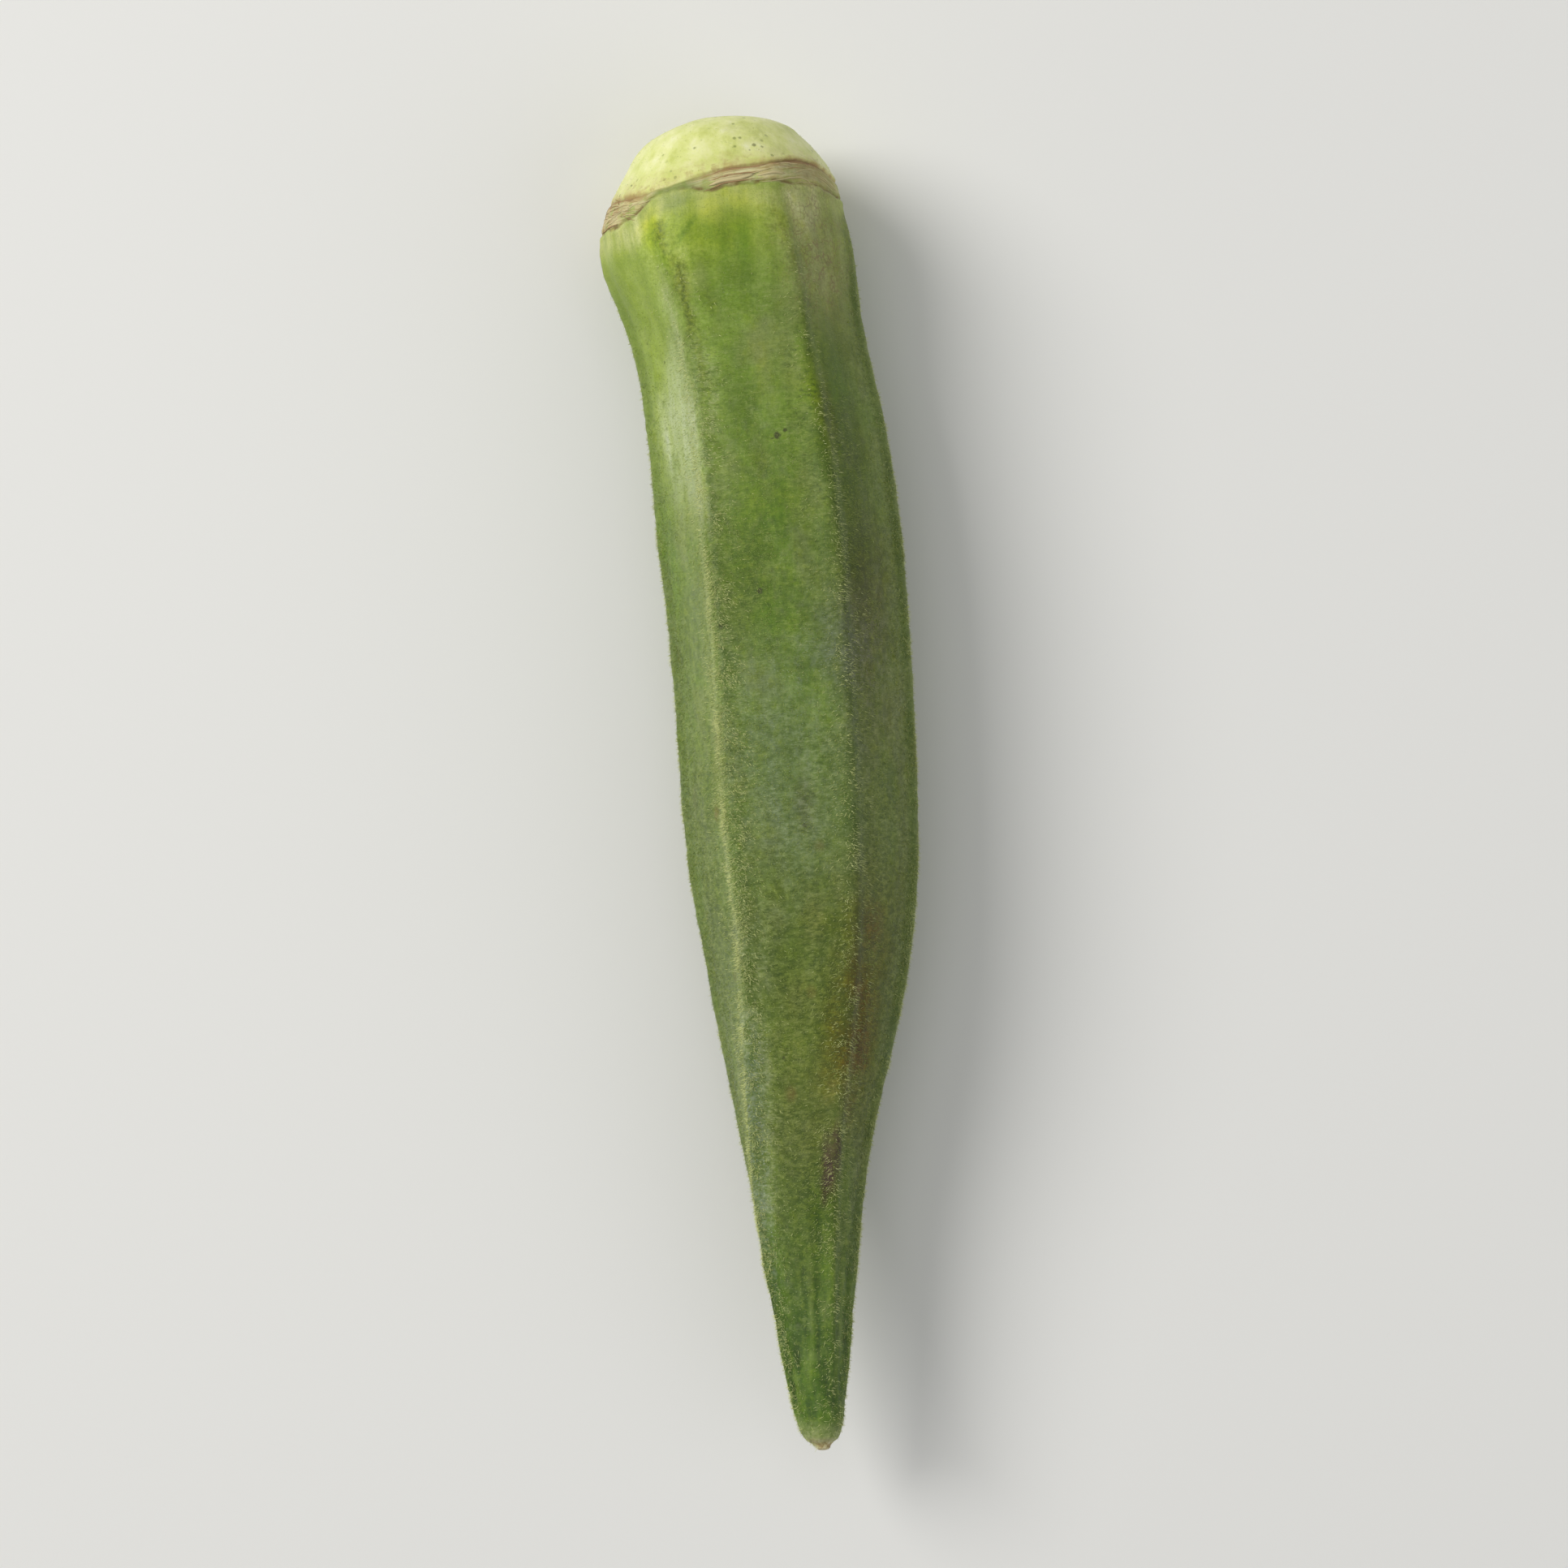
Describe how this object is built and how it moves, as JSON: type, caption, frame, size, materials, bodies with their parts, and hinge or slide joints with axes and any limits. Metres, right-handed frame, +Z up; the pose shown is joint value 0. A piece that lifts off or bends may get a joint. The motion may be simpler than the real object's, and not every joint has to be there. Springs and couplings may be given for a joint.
{
  "type": "okra pod",
  "caption": "Fresh okra pod lying on one facet: ridged body tapering to a blunt tip, a calyx scar round the shoulder and a short domed cap cut flat at the stalk.",
  "frame": {"origin": "bottom centre of the bounding box, on the surface that the pod lies on", "axes": "+Z up; +Y along the pod towards the cut stalk, -Y towards the tip; +X to the right with the stalk away from the viewer"},
  "size_m": [0.0214, 0.1005, 0.0169],
  "materials": {
    "okra_skin": "fresh green skin with short pale hairs, satin"
  },
  "bodies": {
    "root": {"okra_pod": "okra_skin"}
  },
  "joints": []
}
